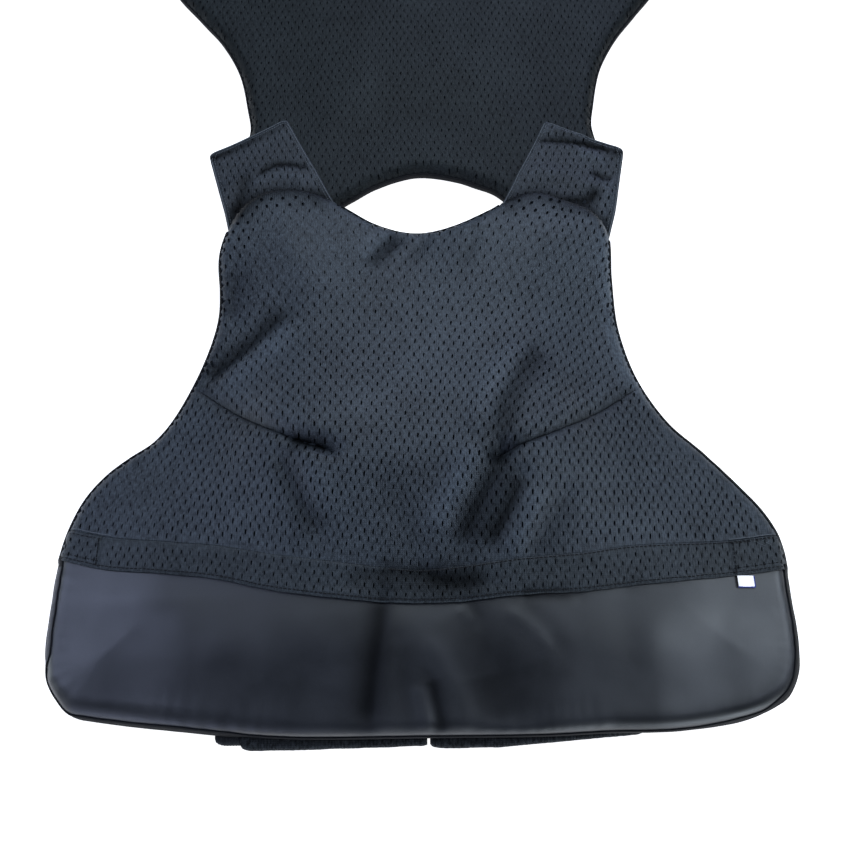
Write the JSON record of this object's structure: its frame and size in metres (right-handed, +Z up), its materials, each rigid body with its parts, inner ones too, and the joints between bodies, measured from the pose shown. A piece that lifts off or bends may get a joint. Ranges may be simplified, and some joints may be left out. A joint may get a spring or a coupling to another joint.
{
  "type": "bulletproof vest lying open",
  "caption": "Concealable bulletproof vest lying open with its mesh lining up: domed front pad with darts and a smooth lower band, back pad, shoulder straps and folded side straps.",
  "frame": {"origin": "the middle of the vest's outer box in plan, on the surface that it lies on", "axes": "+X across the body to the right as seen from the front hem, +Y from the front hem towards the back half, +Z up out of the mesh lining"},
  "size_m": [0.503, 0.839, 0.0443],
  "materials": {
    "smooth_cover": "smooth, softly shining woven nylon cover, dark navy to charcoal",
    "mesh_lining": "matt knitted mesh with rows of small upright holes, dark blue grey",
    "mesh_hem": "the same knitted mesh, doubled and stitched",
    "piping": "matt black edge piping",
    "elastic": "ribbed black elastic",
    "tag_cloth": "plain white woven tag, left bare"
  },
  "bodies": {
    "root": {"front_panel": "smooth_cover", "front_mesh": "mesh_lining", "mesh_hem_band": "mesh_hem", "hem_patch_left": "mesh_hem", "hem_patch_right": "mesh_hem", "size_tag": "tag_cloth", "front_binding": "piping", "front_neck_binding": "piping", "shoulder_strap_left": "mesh_lining", "shoulder_strap_right": "mesh_lining", "back_panel": "smooth_cover", "back_mesh": "mesh_lining", "back_hem_band": "mesh_hem", "back_binding": "piping", "side_strap_left": "mesh_hem", "side_strap_right": "mesh_hem", "strap_elastic_left": "elastic"}
  },
  "joints": []
}
